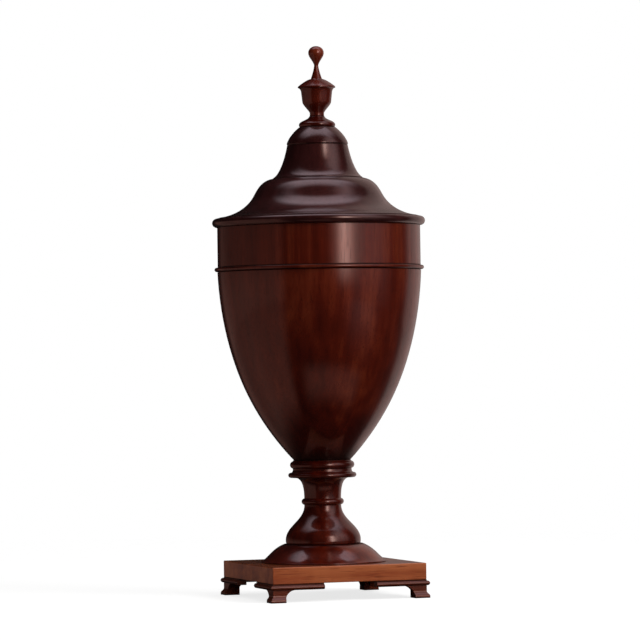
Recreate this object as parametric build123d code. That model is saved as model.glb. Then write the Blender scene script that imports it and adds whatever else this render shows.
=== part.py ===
from build123d import *
import math
import os

# Knife urn: a turned mahogany vase on a square stand with four small bracket feet. Its lid
# rises on a square stem and stays up on a spring catch; inside are three tiers for cutlery.
# Millimetres and degrees. The origin is the bottom centre of the stand, +Z is up and the
# front of the stand faces -Y. Heights of the turned pieces add up from the floor.

# Stand
SLAB_SIDE = 176.0
SLAB_THICKNESS = 18.0
SLAB_EASING = 0.8
FOOT_HEIGHT = 20.0
POST_WIDTH = 14.0
BRACKET_LENGTH = 58.0
BRACKET_THICKNESS = 8.0
BRACKET_DROP = 6.6
ARCH_RADIUS = 11.5
FOOT_FLARE = 2.9
FLARE_BAND = 1.8
FOOT_BEAD_HEIGHT = 5.2
FOOT_BEAD_PROJECTION = 2.9
BEAD_FILLET = 1.2

# Spreading foot and socle
SPREAD_RADIUS = 69.0
SPREAD_EDGE = 1.2
SPREAD_TOP_RADIUS = 43.5
SPREAD_HEIGHT = 20.0
SPREAD_PULLS = ((0.31, 0.20), (0.47, 0.73))
CUSHION_RADIUS = 41.4
CUSHION_EDGE = 4.0
CUSHION_ROUND = 1.5
CUSHION_EDGE_PULLS = ((0.8, 0.1), (1.0, 0.5))
CUSHION_HEIGHT = 43.0
CUSHION_PULLS = ((0.0, 0.42), (1.0, 0.55))
NECK_RADIUS = 20.3
NECK_RING_PROJECTION = 3.0
NECK_RING_HEIGHT = 7.0
CAVETTO_HEIGHT = 23.0
CAVETTO_RADIUS = 30.0
CAVETTO_PULLS = ((0.0, 0.60), (0.25, 0.95))
LOWER_RING_RADIUS = 37.6
LOWER_RING_HEIGHT = 5.4
COLLAR_WAIST_RADIUS = 32.4
COLLAR_WAIST_HEIGHT = 4.6
COLLAR_WAIST_PULLS = ((0.9, 0.1), (1.0, 0.5))
UPPER_RING_PROJECTION = 3.1
UPPER_RING_HEIGHT = 8.0
COLLAR_TOP_HEIGHT = 1.5
BOWL_BASE_RADIUS = 31.5

# Bowl, bead and frieze
BOWL_HEIGHT = 208.0
BOWL_SWELL = 0.4
BOWL_CURVE = ((0.123, 0.263), (0.334, 0.595), (0.618, 0.860), (0.850, 0.970))
BEAD_HEIGHT = 5.0
BEAD_PROJECTION = 3.6
BEAD_QUIRK = 0.7
FRIEZE_HEIGHT = 44.2
FRIEZE_RADIUS = 112.0
BODY_WALL = 13.0
CAVITY_FLOOR_RADIUS = 28.0
FLOOR_THICKNESS = 14.5
LEDGE_WIDTH = 4.0

# Lid
LID_GAP = 0.3
RIM_PROJECTION = 5.5
RIM_HEIGHT = 9.5
RIM_STEP = 7.0
FLARE_EDGE = 0.8
FLARE_HEIGHT = 23.3
FLARE_PULLS = ((0.182, 0.526), (0.545, 0.90))
CUSHION_WIDTH = 22.5
SHOULDER_HEIGHT = 20.0
SHOULDER_PULLS = ((0.159, 0.30), (0.364, 0.925))
CROWN_THICKNESS = 11.0
CEILING_STEP = 9.5
SHOULDER_SEAT = 2.0
INNER_PULLS = ((0.60, 0.015), (0.53, 1.0))
BELL_BASE_RADIUS = 49.5
BELL_TOP_RADIUS = 33.4
BELL_FILLET = 0.8
BELL_HEIGHT = 37.0
BELL_PULLS = ((0.40, 0.09), (0.78, 0.50))
BELL_SPIGOT_RADIUS = 30.0
CAP_RADIUS = 34.0
CAP_QUIRK = 0.8
CAP_HEIGHT = 19.5
CAP_PULLS = ((0.10, 0.32), (0.50, 0.71))
CAP_TENON_RADIUS = 18.0
CAP_TENON_LENGTH = 8.0
LOCATING_WALL = 5.5
LOCATING_DEPTH = 10.0
LOCATING_CLEARANCE = 0.5

# Finial and its ring
RING_RADIUS = 20.0
RING_EDGE = 3.5
RING_BULGE = 0.9
RING_HEIGHT = 12.5
RING_TOP_RADIUS = 8.2
RING_PULLS = ((0.13, 0.46), (0.88, 0.48))
FINIAL_SPIGOT_RADIUS = 6.0
FINIAL_SPIGOT_LENGTH = 28.0
CUP_NECK_RADIUS = 7.9
CUP_NECK_HEIGHT = 3.4
CUP_BELLY_RADIUS = 15.9
CUP_BELLY_HEIGHT = 12.0
CUP_BELLY_PULLS = ((0.18, 0.30), (0.95, 0.70))
CUP_SIDE_RADIUS = 17.2
CUP_SIDE_HEIGHT = 11.6
CUP_RIM_RADIUS = 20.7
CUP_COVE_HEIGHT = 4.2
CUP_COVE_PULLS = ((0.15, 0.6), (0.6, 1.0))
CUP_RIM_THICKNESS = 1.3
DOME_HEIGHT = 8.4
DOME_RADIUS = 6.2
DOME_PULLS = ((0.32, 0.43), (0.70, 0.92))
SPIRE_RADIUS = 2.3
SPIRE_HEIGHT = 15.0
SPIRE_PULLS = ((0.31, 0.26), (0.87, 0.63))
KNOB_RADIUS = 8.6
KNOB_LOWER_HEIGHT = 13.8
KNOB_LOWER_PULLS = ((0.20, 0.40), (1.0, 0.65))
KNOB_UPPER_HEIGHT = 7.5
KNOB_UPPER_PULLS = ((0.0, 0.57), (0.40, 1.0))

# Stem, stop and guide of the lid
LIFT_HEIGHT = 180.0
STEM_SIDE = 16.0
STEM_TENON_LENGTH = 30.0
GUIDE_CLEARANCE = 0.3
STOP_SIDE = 21.0
STOP_THICKNESS = 3.0
STOP_CLEARANCE = 0.3
WELL_RADIUS = 15.5
WELL_CLEARANCE = 2.7
HEAD_PLATE_MARGIN = 4.0
HEAD_PLATE_THICKNESS = 8.0
GUIDE_BLOCK_SIDE = 28.0
GUIDE_BOSS_HEIGHT = 13.0
GUIDE_FLANGE_RADIUS = 21.0
GUIDE_FLANGE_HEIGHT = 10.0
GUIDE_SHANK_RADIUS = 16.0
GUIDE_SHANK_HEIGHT = 25.0
GUIDE_PLATE_SIDE = 30.0
GUIDE_PLATE_THICKNESS = 3.0

# Spring catch in the stem's front face
CATCH_LENGTH = 38.0
CATCH_DEPTH = 7.0
CATCH_WIDTH = 4.2
CATCH_SWING = 12.0
CATCH_RECESS = 0.2
CATCH_REST_GAP = 0.3
CATCH_EYE_RADIUS = 3.5
CATCH_PIN_RADIUS = 1.5
PIN_CLEARANCE = 0.05
PIN_RECESS = 0.3
MORTISE_WIDTH = 5.0
MORTISE_DEPTH = 9.4
MORTISE_TAIL = 14.0
MORTISE_HEADROOM = 0.8
LEAF_WIDTH = 4.0
LEAF_THICKNESS = 0.5
LEAF_REACH = 1.4
LEAF_BOW = 0.35
LEAF_LENGTH = 38.0

# Tiers
TIER_THICKNESS = 7.0
OUTER_TIER_DEPTH = 101.7
MIDDLE_TIER_RISE = 24.0
INNER_TIER_RISE = 20.0
OUTER_TIER_WIDTH = 23.0
MIDDLE_TIER_WIDTH = 26.0
RISER_WALL = 4.0
TIER_LAP = 4.0
SLOT_WIDTH = 6.5
SLOT_EDGE = 3.0
SPOON_SLOTS = 12
FORK_SLOTS = 8
KNIFE_SLOTS = 8
SLOT_MARGIN = 1.0
STRINGING_WIDTH = 1.5
STRINGING_DEPTH = 1.2

# Joints between the turned pieces
SOCLE_TENON_RADIUS = 24.0
SOCLE_TENON_SEAT = 10.0
LOWER_TENON_RADIUS = 14.0
COUNTERBORE_RADIUS = 16.0
COUNTERBORE_DEPTH = 6.0
WASHER_RADIUS = 15.0
WASHER_THICKNESS = 2.0

# Screws, with the shank's radius and the length under the head
FIXING_SCREW_RADIUS = 4.0
FIXING_SCREW_LENGTH = 55.0
HEAD_SCREW_RADIUS = 1.5
HEAD_SCREW_LENGTH = 16.0
HEAD_SCREW_CIRCLE_RADIUS = 22.0
HEAD_SCREW_COUNT = 4
HEAD_SCREW_START = 45.0
GUIDE_SCREW_RADIUS = 1.1
GUIDE_SCREW_LENGTH = 8.0
STOP_SCREW_RADIUS = 2.0
STOP_SCREW_LENGTH = 20.0
LEAF_SCREW_RADIUS = 0.9
LEAF_SCREW_LENGTH = 5.0
SCREW_HEAD_SHARE = 2.0
SCREW_RISE_SHARE = 0.8
SCREW_SLOT_WIDTH = 0.6
SCREW_SLOT_SHARE = 0.5
SCREW_HEAD_PULLS = ((0.0, 0.8), (0.4, 1.0))

# Radii that follow from the bell's
SHOULDER_RADIUS = BELL_BASE_RADIUS + CUSHION_WIDTH
CROWN_CEILING_RADIUS = BELL_BASE_RADIUS - CEILING_STEP
HEAD_PLATE_RADIUS = CROWN_CEILING_RADIUS - HEAD_PLATE_MARGIN

# Radii that follow from the body's
BOWL_RADIUS = FRIEZE_RADIUS + BOWL_SWELL
BEAD_RADIUS = FRIEZE_RADIUS + BEAD_PROJECTION
RIM_RADIUS = FRIEZE_RADIUS + RIM_PROJECTION
FLARE_RADIUS = RIM_RADIUS - RIM_STEP
CAVITY_RADIUS = FRIEZE_RADIUS - BODY_WALL
LEDGE_RADIUS = CAVITY_RADIUS - LEDGE_WIDTH
LOCATING_RADIUS = CAVITY_RADIUS - LOCATING_CLEARANCE
RIM_INNER_RADIUS = LOCATING_RADIUS - LOCATING_WALL
SHOULDER_INNER_RADIUS = RIM_INNER_RADIUS + SHOULDER_SEAT
MIDDLE_RISER_RADIUS = CAVITY_RADIUS - OUTER_TIER_WIDTH
OUTER_BOARD_INNER_RADIUS = MIDDLE_RISER_RADIUS - RISER_WALL - TIER_LAP
INNER_RISER_RADIUS = MIDDLE_RISER_RADIUS - MIDDLE_TIER_WIDTH
MIDDLE_BOARD_INNER_RADIUS = INNER_RISER_RADIUS - RISER_WALL - TIER_LAP
SPOON_SLOT_START = MIDDLE_RISER_RADIUS + SLOT_EDGE
FORK_SLOT_START = INNER_RISER_RADIUS + SLOT_EDGE
KNIFE_SLOT_START = GUIDE_FLANGE_RADIUS + SLOT_EDGE
SPOON_SLOT_LENGTH = LEDGE_RADIUS - SLOT_MARGIN - SPOON_SLOT_START
FORK_SLOT_LENGTH = OUTER_BOARD_INNER_RADIUS - FORK_SLOT_START
KNIFE_SLOT_LENGTH = MIDDLE_BOARD_INNER_RADIUS - KNIFE_SLOT_START

# Levels, from the floor up
SLAB_TOP = FOOT_HEIGHT + SLAB_THICKNESS
SPREAD_TOP = SLAB_TOP + SPREAD_HEIGHT
CUSHION_TOP = SPREAD_TOP + CUSHION_HEIGHT
NECK_RING_TOP = CUSHION_TOP + NECK_RING_HEIGHT
CAVETTO_TOP = NECK_RING_TOP + CAVETTO_HEIGHT
LOWER_RING_TOP = CAVETTO_TOP + LOWER_RING_HEIGHT
WAIST_TOP = LOWER_RING_TOP + COLLAR_WAIST_HEIGHT
UPPER_RING_TOP = WAIST_TOP + UPPER_RING_HEIGHT
COLLAR_TOP = UPPER_RING_TOP + COLLAR_TOP_HEIGHT
CAVITY_FLOOR = COLLAR_TOP + FLOOR_THICKNESS
BOWL_TOP = COLLAR_TOP + BOWL_HEIGHT
BEAD_TOP = BOWL_TOP + BEAD_HEIGHT
BODY_TOP = BEAD_TOP + FRIEZE_HEIGHT
LID_BASE = BODY_TOP + LID_GAP
RIM_TOP = LID_BASE + RIM_HEIGHT
FLARE_TOP = RIM_TOP + FLARE_HEIGHT
CROWN_TOP = FLARE_TOP + SHOULDER_HEIGHT
CROWN_CEILING = CROWN_TOP - CROWN_THICKNESS
BELL_TOP = CROWN_TOP + BELL_HEIGHT
CAP_TOP = BELL_TOP + CAP_HEIGHT
RING_TOP = CAP_TOP + RING_HEIGHT
OUTER_TIER_TOP = BODY_TOP - OUTER_TIER_DEPTH
MIDDLE_TIER_TOP = OUTER_TIER_TOP + MIDDLE_TIER_RISE
INNER_TIER_TOP = MIDDLE_TIER_TOP + INNER_TIER_RISE
INNER_TIER_BOTTOM = INNER_TIER_TOP - TIER_THICKNESS
LEDGE_TOP = OUTER_TIER_TOP - TIER_THICKNESS
GUIDE_TOP = INNER_TIER_TOP + GUIDE_BOSS_HEIGHT
GUIDE_PLATE_TOP = GUIDE_TOP + GUIDE_PLATE_THICKNESS
GUIDE_FLANGE_BOTTOM = INNER_TIER_BOTTOM - GUIDE_FLANGE_HEIGHT
GUIDE_BOTTOM = GUIDE_FLANGE_BOTTOM - GUIDE_SHANK_HEIGHT
HEAD_PLATE_BOTTOM = CROWN_CEILING - HEAD_PLATE_THICKNESS
STEM_TOP = CROWN_CEILING + STEM_TENON_LENGTH
STEM_BOTTOM = GUIDE_BOTTOM - STOP_CLEARANCE - LIFT_HEIGHT
WELL_FLOOR = STEM_BOTTOM - STOP_THICKNESS - WELL_CLEARANCE
SOCLE_TENON_TOP = COLLAR_TOP + SOCLE_TENON_SEAT
LOWER_TENON_BOTTOM = FOOT_HEIGHT + COUNTERBORE_DEPTH
CATCH_FOOT = GUIDE_PLATE_TOP + CATCH_REST_GAP - LIFT_HEIGHT
CATCH_PIVOT_HEIGHT = CATCH_FOOT + CATCH_LENGTH
STEM_FRONT = -STEM_SIDE / 2
CATCH_FRONT = STEM_FRONT + CATCH_RECESS
CATCH_BACK = CATCH_FRONT + CATCH_DEPTH
CATCH_PIVOT = (CATCH_FRONT + CATCH_EYE_RADIUS, CATCH_PIVOT_HEIGHT)
MORTISE_BACK = STEM_FRONT + MORTISE_DEPTH
MORTISE_BOTTOM = CATCH_FOOT - MORTISE_TAIL
MORTISE_TOP = CATCH_PIVOT_HEIGHT + CATCH_EYE_RADIUS + MORTISE_HEADROOM
LEAF_SCREW_HEIGHT = MORTISE_BOTTOM + MORTISE_TAIL / 2


def pulled(start, end, pulls):
    """A smooth curve's two pulls and its end, with each pull as a share of the way there."""
    places = []
    for radial, upward in pulls:
        across = start[0] + radial * (end[0] - start[0])
        height = start[1] + upward * (end[1] - start[1])
        places.append((across, height))
    return [*places, end]


def through(start, end, shares):
    """Points of a curve from start to end: each is a share of the height and of the radius."""
    points = []
    for upward, radial in shares:
        across = start[0] + radial * (end[0] - start[0])
        height = start[1] + upward * (end[1] - start[1])
        points.append((across, height))
    return points


def outline(start, *moves):
    """Closed face. Each move goes on from the last point: one point is a straight line, two
    are an arc through the first, three a curve that the first two pull, more a curve through all."""
    edges = []
    here = start
    for move in moves:
        if len(move) == 1:
            edges.append(Line(here, move[0]))
        elif len(move) == 2:
            edges.append(ThreePointArc(here, *move))
        elif len(move) == 3:
            edges.append(Bezier(here, *move))
        else:
            edges.append(Spline(here, *move))
        here = move[-1]
    edges.append(Line(here, start))
    return make_face(edges)


def turned(start, *moves):
    """Solid turned about the urn's axis from an outline of (radius, height) points."""
    return revolve(Plane.XZ * outline(start, *moves), Axis.Z)


def tube(outer, inner, low, high):
    """Plain hoop about the urn's axis."""
    return turned((inner, low), [(outer, low)], [(outer, high)], [(inner, high)])


def bar(side, low, high):
    """Square bar or square hole on the urn's axis."""
    return Pos(0, 0, (low + high) / 2) * Box(side, side, high - low)


def rod(radius, low, high):
    """Round bar or round hole on the urn's axis."""
    return Pos(0, 0, (low + high) / 2) * Cylinder(radius, high - low)


def round_places(count, radius, start=0):
    """Places evenly round the axis from a start angle, each turned to face outwards."""
    places = []
    for number in range(count):
        places.append(Rot(0, 0, start + number * 360 / count) * Pos(radius, 0, 0))
    return places


def screw(radius, length):
    """Slotted screw with its head's underside at the origin, its shank along +Z."""
    head_radius = radius * SCREW_HEAD_SHARE
    head_height = radius * SCREW_RISE_SHARE
    shank = rod(radius, 0, length)
    head = turned(
        (0, 0),
        [(head_radius, 0)],
        pulled((head_radius, 0), (0, -head_height), SCREW_HEAD_PULLS),
    )
    depth = head_height * SCREW_SLOT_SHARE
    slot = Pos(0, 0, depth / 2 - head_height) * Box(2 * head_radius, SCREW_SLOT_WIDTH, depth)
    return shank + head - slot


def bracket_facing():
    """Front facing of the front left foot: moulded outside, arched below, mitred at the corner."""
    face = -SLAB_SIDE / 2
    corner = face - FOOT_FLARE
    inner_end = face + BRACKET_LENGTH
    bead_top = FOOT_HEIGHT - BEAD_FILLET
    bead_bottom = bead_top - FOOT_BEAD_HEIGHT
    waist = (FLARE_BAND + bead_bottom) / 2
    section = outline(
        (face + BRACKET_THICKNESS, 0),
        [(corner, 0)],
        [(corner, FLARE_BAND)],
        [(corner, (FLARE_BAND + waist) / 2), (face, (FLARE_BAND + waist) / 2), (face, waist)],
        [(face, bead_bottom)],
        [(face - FOOT_BEAD_PROJECTION, (bead_bottom + bead_top) / 2), (face, bead_top)],
        [(face, FOOT_HEIGHT)],
        [(face + BRACKET_THICKNESS, FOOT_HEIGHT)],
    )
    strip = extrude(Plane.YZ.offset(corner) * section, inner_end - corner)
    post_edge = face + POST_WIDTH
    wing_bottom = FOOT_HEIGHT - BRACKET_DROP
    arch_start = wing_bottom - ARCH_RADIUS
    diagonal = ARCH_RADIUS * (1 - math.sqrt(0.5))
    arch = outline(
        (post_edge, -FOOT_HEIGHT),
        [(post_edge, arch_start)],
        [(post_edge + diagonal, wing_bottom - diagonal), (post_edge + ARCH_RADIUS, wing_bottom)],
        [(inner_end + ARCH_RADIUS, wing_bottom)],
        [(inner_end + ARCH_RADIUS, -FOOT_HEIGHT)],
    )
    opening = Plane.XZ * extrude(arch, SLAB_SIDE, both=True)
    mitre = extrude(
        make_face(Polyline((-SLAB_SIDE, -SLAB_SIDE), (SLAB_SIDE, -SLAB_SIDE), (SLAB_SIDE, SLAB_SIDE),
                           close=True)),
        FOOT_HEIGHT,
    )
    return (strip - opening) & mitre


def bracket_feet():
    """Four feet, each of two facings that meet in a mitre on the stand's diagonal."""
    front = bracket_facing()
    side = mirror(front, about=Plane(origin=(0, 0, 0), z_dir=(1, -1, 0)))
    feet = {}
    for turn, corner in enumerate(("front_left", "front_right", "rear_right", "rear_left")):
        place = Rot(0, 0, 90 * turn)
        feet[f"bracket_foot_{corner}"] = [place * front, place * side]
    return feet


def corner_blocks():
    """Square blocks glued into the corners behind the facings."""
    side = POST_WIDTH - BRACKET_THICKNESS
    middle = SLAB_SIDE / 2 - BRACKET_THICKNESS - side / 2
    blocks = []
    for across, along in ((-1, -1), (1, -1), (1, 1), (-1, 1)):
        blocks.append(Pos(across * middle, along * middle, 0) * bar(side, 0, FOOT_HEIGHT))
    return blocks


def plinth_slab():
    slab = bar(SLAB_SIDE, FOOT_HEIGHT, SLAB_TOP)
    slab = fillet(slab.edges().group_by(Axis.Z)[-1] + slab.edges().filter_by(Axis.Z), SLAB_EASING)
    slab -= rod(LOWER_TENON_RADIUS, FOOT_HEIGHT, SLAB_TOP)
    return slab - rod(COUNTERBORE_RADIUS, FOOT_HEIGHT, LOWER_TENON_BOTTOM)


def fixing_washer():
    bottom = LOWER_TENON_BOTTOM - WASHER_THICKNESS
    return tube(WASHER_RADIUS, FIXING_SCREW_RADIUS, bottom, LOWER_TENON_BOTTOM)


def fixing_screw():
    underside = Pos(0, 0, LOWER_TENON_BOTTOM - WASHER_THICKNESS)
    return underside * screw(FIXING_SCREW_RADIUS, FIXING_SCREW_LENGTH)


def spreading_foot():
    edge = (SPREAD_RADIUS, SLAB_TOP + SPREAD_EDGE)
    return turned(
        (LOWER_TENON_RADIUS, SLAB_TOP),
        [(SPREAD_RADIUS, SLAB_TOP)],
        [edge],
        pulled(edge, (SPREAD_TOP_RADIUS, SPREAD_TOP), SPREAD_PULLS),
        [(LOWER_TENON_RADIUS, SPREAD_TOP)],
    )


def socle_stem():
    """Cushion base, neck with a ring and cavetto, with a tenon at each end and the stem's well."""
    cushion_foot = CUSHION_RADIUS - CUSHION_ROUND
    cushion_side = (CUSHION_RADIUS, SPREAD_TOP + CUSHION_EDGE)
    ring_middle = (NECK_RADIUS + NECK_RING_PROJECTION, CUSHION_TOP + NECK_RING_HEIGHT / 2)
    bored = turned(
        (0, LOWER_TENON_BOTTOM),
        [(LOWER_TENON_RADIUS, LOWER_TENON_BOTTOM)],
        [(LOWER_TENON_RADIUS, SPREAD_TOP)],
        [(cushion_foot, SPREAD_TOP)],
        pulled((cushion_foot, SPREAD_TOP), cushion_side, CUSHION_EDGE_PULLS),
        pulled(cushion_side, (NECK_RADIUS, CUSHION_TOP), CUSHION_PULLS),
        [ring_middle, (NECK_RADIUS, NECK_RING_TOP)],
        pulled((NECK_RADIUS, NECK_RING_TOP), (CAVETTO_RADIUS, CAVETTO_TOP), CAVETTO_PULLS),
        [(SOCLE_TENON_RADIUS, CAVETTO_TOP)],
        [(SOCLE_TENON_RADIUS, SOCLE_TENON_TOP)],
        [(WELL_RADIUS, SOCLE_TENON_TOP)],
        [(WELL_RADIUS, WELL_FLOOR)],
        [(0, WELL_FLOOR)],
    )
    screw_bottom = LOWER_TENON_BOTTOM - WASHER_THICKNESS
    screw_top = screw_bottom + FIXING_SCREW_LENGTH
    return bored - rod(FIXING_SCREW_RADIUS, screw_bottom, screw_top)


def socle_collar():
    """Sharp lower ring, waist and round upper ring under the bowl."""
    flat = LOWER_RING_RADIUS - LOWER_RING_HEIGHT / 2
    ring_middle = (LOWER_RING_RADIUS, CAVETTO_TOP + LOWER_RING_HEIGHT / 2)
    bulge = (COLLAR_WAIST_RADIUS + UPPER_RING_PROJECTION, WAIST_TOP + UPPER_RING_HEIGHT / 2)
    return turned(
        (SOCLE_TENON_RADIUS, CAVETTO_TOP),
        [(flat, CAVETTO_TOP)],
        [ring_middle, (flat, LOWER_RING_TOP)],
        pulled((flat, LOWER_RING_TOP), (COLLAR_WAIST_RADIUS, WAIST_TOP), COLLAR_WAIST_PULLS),
        [bulge, (COLLAR_WAIST_RADIUS, UPPER_RING_TOP)],
        [(BOWL_BASE_RADIUS, COLLAR_TOP)],
        [(SOCLE_TENON_RADIUS, COLLAR_TOP)],
    )


def bowl():
    """Egg-shaped shell with a thick bored floor and a turned ledge for the outer tier."""
    outer_start = (BOWL_BASE_RADIUS, COLLAR_TOP)
    outer_end = (BOWL_RADIUS, BOWL_TOP)
    inner_start = (LEDGE_RADIUS, LEDGE_TOP)
    inner_end = (CAVITY_FLOOR_RADIUS, CAVITY_FLOOR)
    inner_points = through(inner_end, inner_start, BOWL_CURVE)
    return turned(
        (SOCLE_TENON_RADIUS, COLLAR_TOP),
        [outer_start],
        [*through(outer_start, outer_end, BOWL_CURVE), outer_end],
        [(CAVITY_RADIUS, BOWL_TOP)],
        [(CAVITY_RADIUS, LEDGE_TOP)],
        [inner_start],
        [*reversed(inner_points), inner_end],
        [(WELL_RADIUS, CAVITY_FLOOR)],
        [(WELL_RADIUS, SOCLE_TENON_TOP)],
        [(SOCLE_TENON_RADIUS, SOCLE_TENON_TOP)],
    )


def astragal_bead():
    """Half-round bead over a narrow quirk."""
    quirk_top = BOWL_TOP + BEAD_QUIRK
    flat = BEAD_RADIUS - (BEAD_TOP - quirk_top) / 2
    return turned(
        (CAVITY_RADIUS, BOWL_TOP),
        [(FRIEZE_RADIUS - BEAD_QUIRK, BOWL_TOP)],
        [(FRIEZE_RADIUS - BEAD_QUIRK, quirk_top)],
        [(flat, quirk_top)],
        [(BEAD_RADIUS, (quirk_top + BEAD_TOP) / 2), (flat, BEAD_TOP)],
        [(CAVITY_RADIUS, BEAD_TOP)],
    )


def stringing(radius, top):
    """Light line let into an edge whose outer corner is at this radius and height."""
    return tube(radius, radius - STRINGING_WIDTH, top - STRINGING_DEPTH, top)


def frieze_band():
    band = tube(FRIEZE_RADIUS, CAVITY_RADIUS, BEAD_TOP, BODY_TOP)
    return band - stringing(CAVITY_RADIUS + STRINGING_WIDTH, BODY_TOP)


def tier_stringing():
    """Light lines round the rim and the edges of the two raised tiers."""
    return [
        stringing(CAVITY_RADIUS + STRINGING_WIDTH, BODY_TOP),
        stringing(MIDDLE_RISER_RADIUS, MIDDLE_TIER_TOP),
        stringing(INNER_RISER_RADIUS, INNER_TIER_TOP),
    ]


def slots(count, length, start, top):
    """Radial slots through a tier board, with round ends, the first towards +X."""
    cutter = extrude(SlotOverall(length, SLOT_WIDTH), TIER_THICKNESS, both=True)
    cutters = []
    for place in round_places(count, start + length / 2):
        cutters.append(Pos(0, 0, top) * place * cutter)
    return cutters


def outer_tier_board():
    board = tube(CAVITY_RADIUS, OUTER_BOARD_INNER_RADIUS, LEDGE_TOP, OUTER_TIER_TOP)
    return board - slots(SPOON_SLOTS, SPOON_SLOT_LENGTH, SPOON_SLOT_START, OUTER_TIER_TOP)


def middle_tier_board():
    bottom = MIDDLE_TIER_TOP - TIER_THICKNESS
    board = tube(MIDDLE_RISER_RADIUS, MIDDLE_BOARD_INNER_RADIUS, bottom, MIDDLE_TIER_TOP)
    board -= slots(FORK_SLOTS, FORK_SLOT_LENGTH, FORK_SLOT_START, MIDDLE_TIER_TOP)
    return board - stringing(MIDDLE_RISER_RADIUS, MIDDLE_TIER_TOP)


def inner_tier_board():
    """Top tier, with a square hole that holds the guide block."""
    board = rod(INNER_RISER_RADIUS, INNER_TIER_BOTTOM, INNER_TIER_TOP)
    board -= slots(KNIFE_SLOTS, KNIFE_SLOT_LENGTH, KNIFE_SLOT_START, INNER_TIER_TOP)
    board -= bar(GUIDE_BLOCK_SIDE, INNER_TIER_BOTTOM, INNER_TIER_TOP)
    return board - stringing(INNER_RISER_RADIUS, INNER_TIER_TOP)


def middle_riser():
    top = MIDDLE_TIER_TOP - TIER_THICKNESS
    return tube(MIDDLE_RISER_RADIUS, MIDDLE_RISER_RADIUS - RISER_WALL, OUTER_TIER_TOP, top)


def inner_riser():
    inner = INNER_RISER_RADIUS - RISER_WALL
    return tube(INNER_RISER_RADIUS, inner, MIDDLE_TIER_TOP, INNER_TIER_BOTTOM)


def guide_plate_corners():
    """Places of the guide plate's screws, in the middle of its border at each corner."""
    offset = (STEM_SIDE / 2 + GUIDE_CLEARANCE + GUIDE_PLATE_SIDE / 2) / 2
    corners = []
    for across, along in ((-1, -1), (1, -1), (1, 1), (-1, 1)):
        corners.append(Pos(across * offset, along * offset, GUIDE_PLATE_TOP))
    return corners


def guide_plate_screws():
    """Round-headed screws, heads up, through the plate into the block."""
    down = Rot(180, 0, 0) * screw(GUIDE_SCREW_RADIUS, GUIDE_SCREW_LENGTH)
    return [place * down for place in guide_plate_corners()]


def guide_plate_screw_holes():
    """Holes that the screws' shanks fill."""
    hole = rod(GUIDE_SCREW_RADIUS, -GUIDE_SCREW_LENGTH, 0)
    return [place * hole for place in guide_plate_corners()]


def guide_block():
    """Square boss through the inner tier, flange glued under it and a round shank, all bored."""
    block = bar(GUIDE_BLOCK_SIDE, INNER_TIER_BOTTOM, GUIDE_TOP)
    block += rod(GUIDE_FLANGE_RADIUS, GUIDE_FLANGE_BOTTOM, INNER_TIER_BOTTOM)
    block += rod(GUIDE_SHANK_RADIUS, GUIDE_BOTTOM, GUIDE_FLANGE_BOTTOM)
    block -= bar(STEM_SIDE + 2 * GUIDE_CLEARANCE, GUIDE_BOTTOM, GUIDE_TOP)
    return block - guide_plate_screw_holes()


def guide_plate():
    plate = bar(GUIDE_PLATE_SIDE, GUIDE_TOP, GUIDE_PLATE_TOP)
    plate -= bar(STEM_SIDE + 2 * GUIDE_CLEARANCE, GUIDE_TOP, GUIDE_PLATE_TOP)
    return plate - guide_plate_screw_holes()


def lid_rim():
    """Half-round lip that overhangs the body."""
    flat = RIM_RADIUS - RIM_HEIGHT / 2
    return turned(
        (RIM_INNER_RADIUS, LID_BASE),
        [(flat, LID_BASE)],
        [(RIM_RADIUS, LID_BASE + RIM_HEIGHT / 2), (flat, RIM_TOP)],
        [(RIM_INNER_RADIUS, RIM_TOP)],
    )


def locating_ring():
    """Ring under the lip that drops into the body's mouth."""
    return tube(LOCATING_RADIUS, RIM_INNER_RADIUS, LID_BASE - LOCATING_DEPTH, LID_BASE)


def lid_shoulder():
    """Hollow flare running up into a cushion, with a bored crown for the bell's spigot."""
    crown_edge = (BELL_BASE_RADIUS, CROWN_TOP)
    bend = (SHOULDER_RADIUS, FLARE_TOP)
    flare_edge = (FLARE_RADIUS, RIM_TOP + FLARE_EDGE)
    inner_foot = (SHOULDER_INNER_RADIUS, RIM_TOP)
    ceiling_edge = (CROWN_CEILING_RADIUS, CROWN_CEILING)
    cushion_pulls = [(1 - radial, 1 - upward) for radial, upward in reversed(SHOULDER_PULLS)]
    return turned(
        (BELL_SPIGOT_RADIUS, CROWN_TOP),
        [crown_edge],
        pulled(crown_edge, bend, cushion_pulls),
        pulled(bend, flare_edge, FLARE_PULLS),
        [(FLARE_RADIUS, RIM_TOP)],
        [inner_foot],
        pulled(inner_foot, ceiling_edge, INNER_PULLS),
        [(BELL_SPIGOT_RADIUS, CROWN_CEILING)],
    )


def head_screw_places():
    """Places of the head plate's screws, with their heads sunk in the plate's underside."""
    sunk = HEAD_SCREW_RADIUS * SCREW_RISE_SHARE
    underside = Pos(0, 0, HEAD_PLATE_BOTTOM + sunk)
    places = round_places(HEAD_SCREW_COUNT, HEAD_SCREW_CIRCLE_RADIUS, HEAD_SCREW_START)
    return [underside * place for place in places]


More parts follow.
